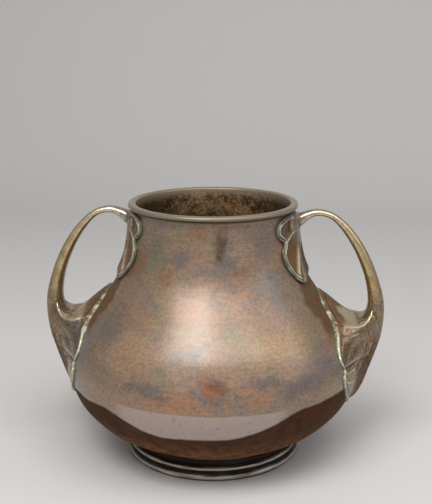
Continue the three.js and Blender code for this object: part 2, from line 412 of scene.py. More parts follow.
@dataclass
class TurnedVessel:
    """The raised and turned body with its rolled rim, hollow and open at the mouth."""

    shape: VesselShape = VESSEL
    sides: int = 320
    outside_pitch: float = 1.2
    inside_pitch: float = 2.4
    neck_flare: Knots = ((0.15, 213.2), (0.8, 214.4))
    roll: Span = (2.2, 2.3)
    lip: Span = (2.2, 1.9)
    base_rings: tuple[float, ...] = (0, 30, 60)
    floor_rings: tuple[float, ...] = (45, 20, 0)
    unevenness: float = 0.16
    waves: Knots = (
        (1, 2, 0.031, 0.7), (0.8, 3, -0.047, 2.1), (0.6, 5, 0.083, 4.0),
        (0.5, 7, -0.11, 1.3), (0.35, 11, 0.16, 5.2),
    )
    rim_shadow_height: float = 215.6
    # Where the painted handle shade lies: a dark strip on the shoulder beside each handle, by degrees
    # from the handle's plane and by height.
    handle_shade_angle: Span = (24, 28)
    handle_shade_start: Span = (108, 122)
    handle_shade_end: Span = (160, 174)
    bloom_reach: float = 2.2
    seam_gap: float = 0.5

    def profile(self) -> np.ndarray:
        """Radius and height of the outline, from the axis under the base round to the floor inside."""
        s = self.shape
        floor = s.foot_height + s.wall
        under = s.height - s.rim_depth
        base = np.array([(radius, s.foot_height) for radius in self.base_rings])
        outside_z = np.arange(s.foot_height, s.neck_top + 0.1, self.outside_pitch)
        outside = np.stack([s.radius(outside_z), outside_z], axis=-1)
        flare = [(s.neck_radius + out, z) for out, z in self.neck_flare]
        neck = np.array([*flare, (s.neck_radius + self.roll[0], under)])
        roll = arc((s.rim_radius - self.roll[0], under + self.roll[1]), self.roll, -70, 90, 14)
        lip = arc((s.mouth_radius + self.lip[0], s.height - self.lip[1]), self.lip, 92, 180, 8)
        throat = np.array([[s.mouth_radius - 0.5, under]])
        inside_z = np.arange(s.neck_top, floor + 2.0, -self.inside_pitch)
        slope = s.slope(inside_z)
        tilt = np.hypot(1, slope)
        inner = s.radius(inside_z) - s.wall / tilt
        inside = np.stack([inner, inside_z + s.wall * slope / tilt], axis=-1)
        inside = inside[inside[:, 1] > floor + 1.2]
        within = np.array([(radius, floor) for radius in (s.base_radius - 1, *self.floor_rings)])
        return np.concatenate([base, outside, neck, roll, lip, throat, inside, within])

    def build(self) -> Thing:
        """Makes the vessel, a little uneven as raised metal is."""
        thing = turned("vessel", self.profile(), self.sides)
        points = corners(thing)
        turn = np.arctan2(points[:, 1], points[:, 0])
        z = points[:, 2] / MM
        radius = np.hypot(points[:, 0], points[:, 1]) / MM
        wave = 0
        for high, count, climb, start in self.waves:
            wave = wave + high * np.sin(count * turn + climb * z + start)
        free = step(z, 22, 50) * step(-z, -206, -180) * step(radius, 20, 50)
        grow = 1 + self.unevenness * wave * free / np.maximum(radius, 1)
        points[:, :2] *= grow[:, None]
        set_corners(thing, points)
        gap_in = self.shape.radius(z) - radius
        inside = step(gap_in, 0.9, 2.2) * step(z, 20, 22) * (1 - step(z, 214.5, 217))
        # Painted handle shade: a dark strip on the shoulder beside each handle.
        across = np.minimum(np.abs(points[:, 1]) / MM / np.maximum(radius, 1), 1)
        ragged = 1.6 * np.sin(0.21 * z) + 0.8 * np.sin(0.63 * z + 2)
        beside = 1 - step(np.degrees(np.arcsin(across)) + ragged, *self.handle_shade_angle)
        handle_shade = beside * step(z, *self.handle_shade_start) * (1 - step(z, *self.handle_shade_end))
        # Painted shadow under the rolled rim.
        groove = bell(z, self.rim_shadow_height, 1.3) * step(radius, 65.6, 66.2)
        set_masks(thing, {"within": inside, "groove": groove, "handle_shade": handle_shade * (1 - inside)})
        return thing

    def stain_near(self, thing: Thing, handles: list[Thing]) -> None:
        """Keeps how near each corner of the vessel is to a handle's edge, for the verdigris.

        Args:
            thing: The vessel.
            handles: The handles that lie on it.
        """
        seam_points = []
        for handle in handles:
            points = corners(handle) / MM
            seam_points.append(points[np.abs(self.shape.lift(points)) < self.seam_gap])
        seam = np.concatenate(seam_points)
        tree = KDTree(len(seam))
        for i, p in enumerate(seam):
            tree.insert(p, i)
        tree.balance()
        points = corners(thing) / MM
        near = np.zeros(len(points))
        beside = (np.abs(points[:, 0]) > 45) & (points[:, 2] > 35)
        for i in np.nonzero(beside)[0]:
            near[i] = math.exp(-tree.find(points[i])[2] / self.bloom_reach)
        set_masks(thing, {"near_handle": near})


@dataclass
class TurnedFoot:
    """The foot ring: two beads with a groove between them and a plain cove above."""

    shape: VesselShape = VESSEL
    sides: int = 320
    thickness: float = 9.5
    lower_bead: Span = (2.2, 2.5)
    groove: Span = (1.5, 1.3)
    upper_bead: Span = (1.6, 1.9)
    cove: Span = (3.0, 3.2)
    crowns: Knots = ((3.2, 1.9), (9.9, 1.4), (17.4, 0.8))

    def profile(self) -> np.ndarray:
        """Radius and height round the ring's section, closed on itself."""
        r = self.shape.foot_radius
        inner = r - self.thickness
        top = self.shape.foot_height - 0.05
        lower = arc((r - 2.2, 2.5), self.lower_bead, -75, 62, 14)
        groove = arc((r - 1.1, 6.3), self.groove, 235, 125, 8)
        upper = arc((r - 3.4, 9.4), self.upper_bead, -55, 75, 12)
        cove = arc((r - 2.6, 14.6), self.cove, 225, 150, 10)
        ends = np.array([[r - 5.6, top], [inner, top], [inner, 9], [inner, 0], [r - 5.5, 0]])
        return np.concatenate([lower, groove, upper, cove, ends])

    def build(self) -> Thing:
        """Makes the ring and keeps how far each corner lies on the crown of a bead."""
        thing = turned("turned_foot", self.profile(), self.sides)
        points = corners(thing) / MM
        z = points[:, 2]
        reach = np.hypot(points[:, 0], points[:, 1]) - self.shape.foot_radius
        crown = sum(bell(z, height, wide) for height, wide in self.crowns)
        set_masks(thing, {"crest": crown * step(reach, -7.5, -5.8)})
        return thing


@dataclass(frozen=True)
class Chased:
    """A line raised or sunk on the lower leaf, by degrees from the handle's plane and height."""

    points: Knots
    wide: float
    high: float


LEAF_SPREAD = 2.2
LEAF_LINES_TOP = 127.0
LEAF_LINES = (
    Chased(((25.4, 92.6), (21.5, 92), (16, 91), (13, 91.6)), 0.9, -1.0),
    Chased(((25.4, 90), (23, 87.6), (19.5, 87.4), (15.5, 86), (12.9, 87.2), (13.2, 90)), 0.8, 0.7),
    Chased(((26.4, 88), (26.4, 84), (24.5, 80.6), (21.9, 79.2), (18.3, 77.2), (15.4, 79.5)), 0.8, 0.6),
    Chased(((8, 103), (9.7, 92), (11.2, 83), (15.2, 74), (16.8, 64)), 0.9, -0.8),
    Chased(((6.2, 103), (7.6, 92), (9, 83), (12.4, 74), (13.6, 64)), 0.9, 0.5),
    Chased(((10.8, 107.2), (15, 102), (18.6, 97.2)), 3.4, -0.7),
    Chased(((17, 115.5), (13.7, 114.2), (11, 115)), 0.8, -0.3),
    Chased(((14.3, 123), (13, 122), (11.9, 119.4), (9.5, 120), (7, 122.6), (5.3, 125.3)), 0.9, 0.5),
)


@dataclass(frozen=True)
class Bead:
    """Section of a raised or sunk line: where its middle lies, its width and its height."""

    middle: float
    wide: float
    high: float

    def lift(self, place: np.ndarray) -> np.ndarray:
        """How far the surface is lifted at each place across the line."""
        return self.high * bell(place, self.middle, self.wide)


@dataclass
class LeafHandle:
    """One cast handle: strap, lower leaf with its scoop, and the spread leaves of the root.

    Sizes are in millimetres and degrees, and each is the solid's own where the solid has it.
    """

    side: Side
    vessel: VesselShape = VESSEL
    voxel: float = 0.8
    strap_roundness: float = 2.4
    strap_steps: int = 170
    strap_sides: int = 56
    strap_rows: Knots = (
        (62, 202, 8.5, 8), (72.5, 205.2, 5.7, 6.8), (79, 208.9, 3.8, 5.6), (88.5, 211.5, 2.9, 4.7),
        (101, 208.1, 2.8, 4.8), (113.5, 196.2, 3.8, 5.9), (125, 178.6, 4.7, 7.1),
        (134, 157.4, 5.4, 8.1), (138.7, 136, 6.6, 9), (137.4, 121, 8.4, 9.2), (130, 106, 8, 6),
    )
    leaf_tip: float = 43.0
    leaf_top: float = 146.0
    leaf_rows: int = 172
    crown_columns: int = 13
    crown_curl: float = 3.4
    cheek_columns: int = 48
    cheek_share: float = 0.7
    spine: Knots = (
        (43, 113), (47.5, 120.6), (53, 125.4), (63, 130.3), (75, 134.4), (91, 139.8),
        (105, 144), (120, 146.1), (134, 145.9), (146, 143.6),
    )
    ridge_reach: Knots = (
        (43, 0.5), (53, 6.5), (63, 9.8), (78, 11.8), (95, 11), (110, 9), (125, 7), (146, 5),
    )
    ridge_drop: Knots = ((43, 0.6), (60, 3.4), (78, 4.4), (100, 3.6), (125, 2.4), (146, 2.2))
    edge_angle: Knots = (
        (43, 0.6), (48, 7), (54, 12.6), (60, 17.6), (66, 21.8), (73, 25), (80, 26.8), (86, 26.6),
        (91.5, 25), (96, 25.6), (101, 25.8), (110, 22.6), (122.5, 14.8), (131.5, 11.2),
        (139, 7.2), (146, 0.6),
    )
    side_bulge: Knots = (
        (43, 0), (60, -1.6), (84, -4.2), (90, -3.6), (94, -1.6), (105, -1.6), (116, 1.4),
        (122, 2.6), (130, 0), (146, 0),
    )
    spine_shade_edge: Knots = (
        (43, 9), (56, 15), (66, 17), (73, 15), (77.5, 12.9), (84.8, 10.6), (91.5, 9.6), (102, 8.1),
        (119, 6.1), (146, 5),
    )
    leaf_edge: float = 1.6
    leaf_bury: float = 5.0
    scoop_floor: Knots = (
        (84, 160, -0.03), (87, 151, -0.03), (92, 144.5, -0.03), (97, 140.8, -0.024),
        (101.5, 137, -0.019), (105, 134, -0.016), (109, 130.6, -0.012), (114, 126, -0.0065),
        (118.5, 121, -0.002), (124, 117.6, 0.004), (128.5, 118.9, 0.005), (131.5, 122.2, 0.004),
        (134, 127, 0.002), (136, 134, 0), (138, 144, 0), (139, 170, 0),
    )
    scoop_reach: float = 27.0
    scoop_half_width: float = 36.0
    scoop_steps: int = 90
    scoop_columns: int = 41
    root_outline: Knots = (
        (0, 213), (13, 212.9), (25, 212.4), (33, 210), (36.5, 204.5), (35, 197.5), (29, 191.6),
        (32.5, 185), (32.2, 177), (28.6, 167.6), (21, 158.5), (10, 161.5), (0, 164.6),
    )
    root_base: tuple[float, float, float] = (6.5, 201.0, 9.5)
    root_notch: int = 6
    root_tip: int = 10
    root_columns: int = 205
    root_shares: int = 50
    root_reach: float = 72.0
    root_under: float = -2.0
    root_edge_rim: Bead = Bead(0.55, 0.55, 0.55)
    root_inner_rim: Bead = Bead(3.0, 0.6, 0.75)
    root_stem: Bead = Bead(0.33, 0.035, 0.35)
    root_fold: Bead = Bead(0.44, 0.05, 0.7)
    sunk: float = 0.8
    seam_inset: float = 0.35
    seam_width: float = 0.8
    seam_rise: float = 0.75
    seam_groove: Bead = Bead(2.1, 0.8, 0.4)

    def on_body(self, angle: np.ndarray, z: np.ndarray, proud: np.ndarray | float) -> np.ndarray:
        """Points by their angle round from the handle's plane, height and distance outside the body."""
        reach = self.vessel.radius(z) + proud
        turn = np.radians(angle)
        return np.stack([reach * np.cos(turn), reach * np.sin(turn), z + 0 * reach], axis=-1)

    def strap(self) -> Thing:
        """The rounded bar over the arch."""
        last = len(self.strap_rows) - 1
        at = np.linspace(0, last, self.strap_steps)
        rows = smooth_rows(self.strap_rows, at)
        ahead = smooth_rows(self.strap_rows, np.minimum(at + 0.01, last))
        behind = smooth_rows(self.strap_rows, np.maximum(at - 0.01, 0))
        along = (ahead - behind)[:, :2]
        along /= np.linalg.norm(along, axis=1, keepdims=True)
        outward = np.stack([-along[:, 1], 0 * at, along[:, 0]], axis=-1)
        turn = -np.linspace(0, 2 * np.pi, self.strap_sides, endpoint=False)
        power = 2 / self.strap_roundness
        across = np.sign(np.sin(turn)) * np.abs(np.sin(turn)) ** power
        up = np.sign(np.cos(turn)) * np.abs(np.cos(turn)) ** power
        centre = np.stack([rows[:, 0], 0 * at, rows[:, 1]], axis=-1)
        rings = centre[:, None, :] + outward[:, None, :] * (up[None, :] * rows[:, 2:3])[..., None]
        rings[..., 1] += across[None, :] * rows[:, 3:4]
        return lofted("strap", rings)

    def leaf(self) -> Thing:
        """The lower leaf, a wedge from the spine to the belly, before the scoop is cut."""
        z = np.linspace(self.leaf_tip, self.leaf_top, self.leaf_rows)[:, None]
        spine = smooth(self.spine, z)
        ridge = smooth(self.ridge_reach, z)
        ridge_x = spine - smooth(self.ridge_drop, z)
        back = np.linspace(0, 1, self.crown_columns)[None, :]
        crown_x = spine - (spine - ridge_x) * back**self.crown_curl
        crown = np.stack([crown_x, ridge * back, z + 0 * back], axis=-1)
        angle = smooth(self.edge_angle, z)
        edge = self.on_body(angle, z, self.leaf_edge)
        share = np.linspace(0, 1, self.cheek_columns)[None, 1:]
        bulge = self.cheek_share * smooth(self.side_bulge, z) * np.sin(np.pi * share)
        x = ridge_x + (edge[..., 0] - ridge_x) * share + bulge
        y = ridge + (edge[..., 1] - ridge) * share + bulge
        reach = np.hypot(x, y)
        least = self.vessel.radius(z) + self.leaf_edge
        grow = np.maximum(reach, least) / reach
        cheek = np.stack([x * grow, y * grow, z + 0 * share], axis=-1)
        buried = self.on_body(angle, z, -self.leaf_bury)
        half = np.concatenate([crown, cheek, buried], axis=1)
        other = half[:, :0:-1] * np.array([1, -1, 1])
        return lofted("leaf", np.concatenate([half, other], axis=1))

    def scoop(self) -> Thing:
        """What is cut away between the strap and the belly."""
        last = len(self.scoop_floor) - 1
        floor = smooth_rows(self.scoop_floor, np.linspace(0, last, self.scoop_steps))
        y = np.linspace(self.scoop_half_width, -self.scoop_half_width, self.scoop_columns)[:, None]
        z = floor[None, :, 1] + floor[None, :, 2] * np.minimum(np.abs(y), self.scoop_reach) ** 2
        x = floor[None, :, 0] + 0 * y
        return lofted("scoop", np.stack([x, y + 0 * x, z], axis=-1))

    def root_proud(self, column: np.ndarray, share: np.ndarray) -> np.ndarray:
        """How far the root stands out from the neck, before it is chased.

        Args:
            column: Place along the outline, in its points.
            share: Share of the way from the strap to the outline.

        Returns:
            Millimetres outside the body.
        """
        rib = bell(column, self.root_tip, 0.8)
        channel = step(column, self.root_tip - 0.5, 12)
        fold = bell(column, self.root_notch, 0.6)
        hollow = 1.1 + 1.3 * fold
        fall = step(share, 0, 0.5)
        rise = step(share, 0.6, 0.93)
        flat = 6 + (hollow - 6) * fall + (2.4 - hollow) * rise
        proud = flat + (4.6 + 1.6 * (1 - share) - flat) * channel
        return np.maximum(proud, rib * (5.6 - 2.4 * share))

    def root_rings(
        self, column: np.ndarray, shares: np.ndarray, proud: np.ndarray | float
    ) -> np.ndarray:
        """Rings of the root at some shares of the way out from the strap, on both sides.

        Args:
            column: Places along the outline, as one row.
            shares: Shares of the way out, as one column.
            proud: Height outside the body.

        Returns:
            Points in millimetres, ring by ring.
        """
        outline = smooth_rows(self.root_outline, column[0])
        turn = np.pi * column / (len(self.root_outline) - 1)
        from_angle = self.root_base[0] * np.sin(turn)
        from_z = self.root_base[1] + self.root_base[2] * np.cos(turn)
        angle = from_angle + (outline[None, :, 0] - from_angle) * shares
        z = from_z + (outline[None, :, 1] - from_z) * shares
        half = self.on_body(angle, z, proud)
        other = half[:, -2:0:-1] * np.array([1, -1, 1])
        return np.concatenate([half, other], axis=1)

    def root_core(self) -> Thing:
        """The plain body of the root, a little below its chased face, to flow into the strap."""
        column = np.linspace(0, len(self.root_outline) - 1, 130)[None, :]
        share = np.linspace(0, 1, 40)[:, None]
        proud = self.root_proud(column, share) - 0.9 * step(share, 0.12, 0.3)
        face = self.root_rings(column, share, proud)
        under = self.root_rings(column, np.array([[0.97], [0.4]]), self.root_under)
        return lofted("root_core", np.concatenate([face, under]))

    def root_away(self, rings: np.ndarray) -> np.ndarray:
        """Distance of the root's points from its edge, along the neck.

        Args:
            rings: The points, ring by ring.

        Returns:
            The distance of each, in millimetres.
        """
        around = np.degrees(np.arctan2(rings[..., 1], rings[..., 0]))
        spread = math.radians(1) * self.root_reach
        place = np.stack([np.abs(around) * spread, rings[..., 2]], axis=-1).reshape(-1, 2)
        edge = smooth_rows(self.root_outline, np.linspace(1, self.root_tip, 90))
        return line_distance(place, edge * np.array([spread, 1.0])).reshape(rings.shape[:2])

    def root_face(self) -> Thing:
        """The chased face of the root: double rims, bowls and a split rib, with its masks."""
        column = np.linspace(0, len(self.root_outline) - 1, self.root_columns)[None, :]
        share = (1 - (1 - np.linspace(0.1, 1, self.root_shares)) ** 1.25)[:, None]
        rings = self.root_rings(column, share, 0.0)
        away = self.root_away(rings)
        both = np.concatenate([column[0], column[0, -2:0:-1]])[None, :]
        base = self.root_proud(both, share)
        tip = self.root_tip
        on_leaf = 1 - step(both, tip - 0.2, tip + 0.3)
        ragged = 1 + 0.25 * np.sin(3.1 * both * 4 + 1) * np.sin(1.7 * both * 4)
        rims = self.root_edge_rim.lift(away) + self.root_inner_rim.lift(away) * ragged
        between = bell(away, 1.75, 0.55)
        outer = step(share, 0.2, 0.45)
        split = bell(both, tip - 0.33, 0.16) + bell(both, tip + 0.3, 0.16)
        seam = bell(both, tip, 0.13)
        notch = bell(both, self.root_notch, 0.12) * step(share, 0.15, 0.4)
        upper = step(both, 1.5, 2.5)
        stem = self.root_stem.lift(share) * upper * (1 - step(both, 5, 6))
        fold = self.root_fold.lift(share) * upper * (1 - step(both, 5.2, 6))
        crest = rims * on_leaf + outer * 0.7 * split + 0.8 * notch + stem
        groove = between * on_leaf + outer * 0.8 * seam + fold
        reach = self.vessel.radius(rings[..., 2])
        rings[..., :2] *= ((reach + (base + crest - groove)) / reach)[..., None]
        under = self.root_rings(column, np.array([[1.0], [0.5]]), -self.sunk)
        thing = lofted("root_face", np.concatenate([rings, under]))
        channel = step(both, tip + 0.4, tip + 1.2)
        shadow = np.maximum(groove * 1.3, 0.7 * bell(away, 4.6, 0.9) * on_leaf)
        pale = bell(away, 3.0, 0.75) + 0.75 * bell(away, 0.5, 0.55)
        masks = {
            "crest": crest * 1.15,
            # Dark patina and painted shade in the grooves, the inner band and the channel.
            "hollow_patina_and_shade": np.maximum(shadow, 0.9 * channel * step(share, 0.1, 0.3)),
            "rim": pale * on_leaf + 0.7 * notch,
            "seam": 1 - step(away, 1.2, 2.6),
            "bowl": step(away, 3.4, 5.5) * (1 - step(base, 1.8, 4.2)) * on_leaf,
            "spine": 0 * away,
        }
        underneath = np.zeros(2 * rings.shape[1] + 2)
        whole = {name: np.concatenate([values.ravel(), underneath]) for name, values in masks.items()}
        set_masks(thing, whole)
        return thing

    def cast(self) -> Thing:
        """Joins strap, lower leaf and the body of the root into one skin, as one casting.

        Returns:
            The skin, on the right of the vase.
        """
        parts = [self.strap(), self.leaf(), self.root_core()]
        cutter = self.scoop()
        cut = parts[1].modifiers.new("scoop", "BOOLEAN")
        cut.operation = "DIFFERENCE"
        cut.solver = "EXACT"
        cut.object = cutter
        points, faces = [], []
        depsgraph = bpy.context.evaluated_depsgraph_get()
        for part in parts:
            shown = part.evaluated_get(depsgraph)
            start = len(points)
            points.extend(tuple(v.co) for v in shown.data.vertices)
            faces.extend(tuple(start + v for v in p.vertices) for p in shown.data.polygons)
        whole = mesh_object("skin", np.array(points), faces)
        for part in (*parts, cutter):
            bpy.data.objects.remove(part)
        skin = whole.modifiers.new("skin", "REMESH")
        skin.mode = "VOXEL"
        skin.voxel_size = self.voxel * MM
        depsgraph = bpy.context.evaluated_depsgraph_get()
        mesh = bpy.data.meshes.new_from_object(whole.evaluated_get(depsgraph))
        whole.modifiers.clear()
        whole.data = mesh
        whole.data.shade_smooth()
        return whole

    def seam_rim(self, place: np.ndarray) -> np.ndarray:
        """Distance of places on the leaf from the raised rim that runs just inside its edge.

        Args:
            place: Stretched angle and height of each place.

        Returns:
            The distance of each, and a large one above the leaf.
        """
        heights = np.linspace(self.leaf_tip + 1, 140, 80)
        inside_edge = (smooth(self.edge_angle, heights) - self.seam_inset) * LEAF_SPREAD
        from_edge = line_distance(place, np.stack([inside_edge, heights], axis=-1))
        from_edge[place[:, 1] > 150] = 50
        return from_edge

    def chase(self, thing: Thing) -> None:
        """Eases the skin, seats it on the vessel, chases its lines and keeps its masks.

        Args:
            thing: The handle's skin.
        """
        near = Neighbours(thing)
        points = near.eased(corners(thing), 3) / MM
        set_corners(thing, points * MM)
        outward = normals(thing)
        angle = np.abs(np.degrees(np.arctan2(points[:, 1], points[:, 0])))
        z = points[:, 2]
        place = np.stack([angle * LEAF_SPREAD, z], axis=-1)
        from_edge = self.seam_rim(place)
        ragged = 1 + 0.35 * np.sin(0.61 * z + 1.0) * np.sin(0.23 * z) + 0.08 * np.sin(1.7 * z)
        rim = bell(from_edge, 0, self.seam_width) * ragged
        rise = self.seam_rise * rim - self.seam_groove.lift(from_edge)
        for line in LEAF_LINES:
            away = line_distance(place, np.array(line.points) * np.array([LEAF_SPREAD, 1.0]))
            rise += line.high * bell(away, 0, line.wide) * (z < LEAF_LINES_TOP)
        rise *= step(z, 44, 50)
        points += outward * rise[:, None]
        reach = np.hypot(points[:, 0], points[:, 1])
        least = self.vessel.radius(z) - self.sunk
        points[:, :2] *= (np.maximum(reach, least) / reach)[:, None]
        set_corners(thing, points * MM)
        relief = ((points - near.eased(points, 14)) * normals(thing)).sum(axis=1)
        relief = near.eased(relief[:, None], 1)[:, 0]
        lift = self.vessel.lift(points)
        # Painted shade on the lower part of the leaf's spine, inside this edge.
        line = smooth(self.spine_shade_edge, z)
        line = line + 0.5 * np.sin(0.35 * z) + 0.3 * np.sin(0.9 * z + 1)
        spine = 1 - step(angle, line - 2.2, line + 0.2)
        bowl = self.bowl(points)
        thin = 3.5 - 1.9 * step(z, 114, 122)
        set_masks(thing, {
            "crest": step(relief, 0.07, 0.32) * (1 - bowl),
            # Dark patina and painted shade in the hollows of the relief.
            "hollow_patina_and_shade": step(-relief, 0.03, 0.22),
            "rim": rim * (1 - step(lift - thin, 0, 1.2)),
            "seam": 1 - step(lift, 0.4, 2.6),
            "bowl": bowl,
            "spine": spine * (1 - step(z, 96, 116)),
        })

    def bowl(self, points: np.ndarray) -> np.ndarray:
        """Which points lie on the floor of the scoop.

        Args:
            points: Points in millimetres.

        Returns:
            A value from 0 to 1 for each.
        """
        floor = smooth_rows(self.scoop_floor, np.linspace(0, len(self.scoop_floor) - 1, 120))
        depth = np.interp(points[:, 0], floor[:, 0], floor[:, 1])
        bend = np.interp(points[:, 0], floor[:, 0], floor[:, 2])
        depth += bend * np.minimum(np.abs(points[:, 1]), self.scoop_reach) ** 2
        scoop = 1 - step(np.abs(points[:, 2] - depth), 0.7, 1.8)
        return scoop * step(points[:, 0], 84, 88) * (1 - step(points[:, 0], 130, 135))

    def build(self) -> Thing:
        """Makes the handle on its own side of the vase."""
        skin = self.cast()
        self.chase(skin)
        thing = joined("leaf_handle_" + self.side.name.lower(), skin, self.root_face())
        if self.side is Side.LEFT:
            set_corners(thing, corners(thing) * np.array([-1, -1, 1]))
        return thing


@dataclass(frozen=True)
class Blotch:
    """Soft-edged patches: the noise that they come from and how it is stepped."""

    scale: float
    detail: float
    rough: float
    steps: Steps


class Sketch:
    """Short way to place and link nodes in a tree."""

    def __init__(self, tree: Tree) -> None:
        """Keeps the tree."""
        self.tree = tree

    def feed(self, socket: Socket, value: object) -> None:
        """Links a node's output to an input, or sets the input to a plain value or tint.

        Args:
            socket: The input.
            value: An output socket, a number, a vector or a tint.
        """
        if isinstance(value, Socket):
            self.tree.links.new(value, socket)
        elif socket.type == "RGBA":
            socket.default_value = (*value, 1.0)
        else:
            socket.default_value = value

    def add(self, kind: str, inputs: Inputs | None = None, **settings: object) -> bpy.types.Node:
        """Places a node.

        Args:
            kind: Its Blender type name.
            inputs: A value or an output socket for each named or numbered input.
            settings: Properties of the node.

        Returns:
            The node.
        """
        node = self.tree.nodes.new(kind)
        for name, value in settings.items():
            setattr(node, name, value)
        for name, value in (inputs or {}).items():
            self.feed(node.inputs[name], value)
        return node

    def group(self, tree: Tree, inputs: Inputs) -> bpy.types.NodeOutputs:
        """The outputs of a shared group, placed with its own inputs."""
        return self.add("ShaderNodeGroup", inputs, node_tree=tree).outputs

    def math(self, operation: str, *values: object) -> Socket:
        """The result of a Math node on values or sockets."""
        return self.add("ShaderNodeMath", dict(enumerate(values)), operation=operation).outputs[0]

    def chain(self, operation: str, first: object, *others: object) -> object:
        """The result of one Math operation over a row of values or sockets."""
        for value in others:
            first = self.math(operation, first, value)
        return first

    def times(self, *values: object) -> object:
        """The product of values or sockets."""
        return self.chain("MULTIPLY", *values)

    def plus(self, *values: object) -> object:
        """The sum of values or sockets."""
        return self.chain("ADD", *values)

    def most(self, *values: object) -> object:
        """The largest of values or sockets."""
        return self.chain("MAXIMUM", *values)

    def vector(self, operation: str, *values: object) -> bpy.types.NodeOutputs:
        """The outputs of a Vector Math node on values or sockets."""
        return self.add("ShaderNodeVectorMath", dict(enumerate(values)), operation=operation).outputs

    def scaled(self, vector: Socket, factor: object) -> Socket:
        """A vector or a colour times a value."""
        inputs = {0: vector, "Scale": factor}
        return self.add("ShaderNodeVectorMath", inputs, operation="SCALE").outputs[0]

    def noise(self, place: Socket, scale: float, detail: float = 3.0, rough: float = 0.5) -> Socket:
        """The value of a Noise texture."""
        inputs = {"Vector": place, "Scale": scale, "Detail": detail, "Roughness": rough}
        return self.add("ShaderNodeTexNoise", inputs).outputs["Fac"]

    def stretch(self, place: Socket, scale: Colour, shift: Colour = (0.0, 0.0, 0.0)) -> Socket:
        """Coordinates scaled and shifted along each axis."""
        inputs = {"Vector": place, "Scale": scale, "Location": shift}
        return self.add("ShaderNodeMapping", inputs).outputs[0]

    def ramp(self, value: object, low: object, high: object, *to: object) -> Socket:
        """A value soft-stepped from low to high, as 0 to 1 or from one result to another."""
        to_low, to_high = to or (0.0, 1.0)
        inputs = {0: value, 1: low, 2: high, 3: to_low, 4: to_high}
        return self.add("ShaderNodeMapRange", inputs, interpolation_type="SMOOTHSTEP").outputs[0]

    def blotches(self, place: Socket, kind: Blotch) -> Socket:
        """Soft-edged patches of one kind."""
        return self.ramp(self.noise(place, kind.scale, kind.detail, kind.rough), *kind.steps)

    def mix(self, share: object, first: object, second: object) -> Socket:
        """A colour mixed from two by a share."""
        inputs = {0: share, 6: first, 7: second}
        return self.add("ShaderNodeMix", inputs, data_type="RGBA").outputs[2]

    def over(self, colour: object, tint: object, *shares: object) -> Socket:
        """A colour with a tint laid over it, by the product of masks and shares."""
        return self.mix(self.times(*shares), colour, tint)

    def mask(self, name: str) -> Socket:
        """A value kept at each corner of the mesh."""
        return self.add("ShaderNodeAttribute", attribute_name=name).outputs["Fac"]


def shared_group(
    name: str, inputs: dict[str, float], outputs: tuple[str, ...]
) -> tuple[Sketch, bpy.types.NodeOutputs, bpy.types.NodeInputs]:
    """An empty shader node group that takes a place and some values.

    Args:
        name: Name of the group.
        inputs: Value inputs and what they start from.
        outputs: Value outputs.

    Returns:
        A sketch on the group, what it is given, and what it has to make.
    """
    tree = bpy.data.node_groups.new(name, "ShaderNodeTree")
    tree.interface.new_socket("Place", in_out="INPUT", socket_type="NodeSocketVector")
    for key, value in inputs.items():
        socket = tree.interface.new_socket(key, in_out="INPUT", socket_type="NodeSocketFloat")
        socket.default_value = value
    for key in outputs:
        tree.interface.new_socket(key, in_out="OUTPUT", socket_type="NodeSocketFloat")
    sketch = Sketch(tree)
    return sketch, sketch.add("NodeGroupInput").outputs, sketch.add("NodeGroupOutput").inputs


SPECKS = Blotch(300.0, 3.0, 0.55, (0.6, 0.72))
PATCHES = {
    "Copper": Blotch(17.0, 8.0, 0.7, (0.46, 0.66)),
    "Olive": Blotch(23.0, 8.0, 0.7, (0.48, 0.68)),
    "Grey": Blotch(14.0, 8.0, 0.7, (0.5, 0.68)),
}


def brushed_grain() -> Tree:
    """Group: fine lines round the turned form and the grain of old metal.

    Returns:
        The group, which puts out Lines, Grain and Specks.
    """
    names = ("Lines", "Grain", "Specks")
    sketch, given, made = shared_group("brushed grain", {"Fineness": 1.0}, names)
    place = sketch.scaled(given["Place"], given["Fineness"])
    around = sketch.stretch(place, (40.0, 40.0, 900.0))
    sketch.feed(made["Lines"], sketch.noise(around, 1.0, 4.0, 0.6))
    sketch.feed(made["Grain"], sketch.noise(place, 420.0, 6.0, 0.7))
    sketch.feed(made["Specks"], sketch.blotches(place, SPECKS))
    return sketch.tree


def patina_patches() -> Tree:
    """Group: three soft-edged sets of patches in old patina.

    Returns:
        The group, which puts out Copper, Olive and Grey.
    """
    starts = {"Size": 1.0, "Shift": 0.0}
    sketch, given, made = shared_group("patina patches", starts, tuple(PATCHES))
    scaled = sketch.scaled(given["Place"], given["Size"])
    moved = sketch.vector("ADD", scaled, given["Shift"])[0]
    for k, (name, kind) in enumerate(PATCHES.items()):
        shifted = sketch.stretch(moved, (1.0, 1.0, 1.6), (3.1 * k + 0.7, 1.7 * k, 5.3 * k))
        sketch.feed(made[name], sketch.blotches(shifted, kind))
    return sketch.tree


def verdigris_bloom() -> Tree:
    """Group: broken green bloom where a mask says that damp sits.

    Returns:
        The group, which puts out Bloom.
    """
    starts = {"Damp": 0.0, "Spread": 0.5}
    sketch, given, made = shared_group("verdigris bloom", starts, ("Bloom",))
    broken = sketch.noise(given["Place"], 260.0, 5.0, 0.6)
    patch = sketch.noise(given["Place"], 60.0, 3.0, 0.5)
    both = sketch.plus(sketch.times(broken, 0.5), sketch.times(patch, 0.5))
    wet = sketch.times(given["Damp"], sketch.plus(both, given["Spread"]))
    sketch.feed(made["Bloom"], sketch.ramp(wet, 0.45, 0.85))
    return sketch.tree


@dataclass(frozen=True)
class SharedEffects:
    """The node groups that the finishes share."""

    grain: Tree
    patches: Tree
    verdigris: Tree

    @classmethod
    def made(cls) -> "SharedEffects":
        """Builds each group once."""
        return cls(brushed_grain(), patina_patches(), verdigris_bloom())


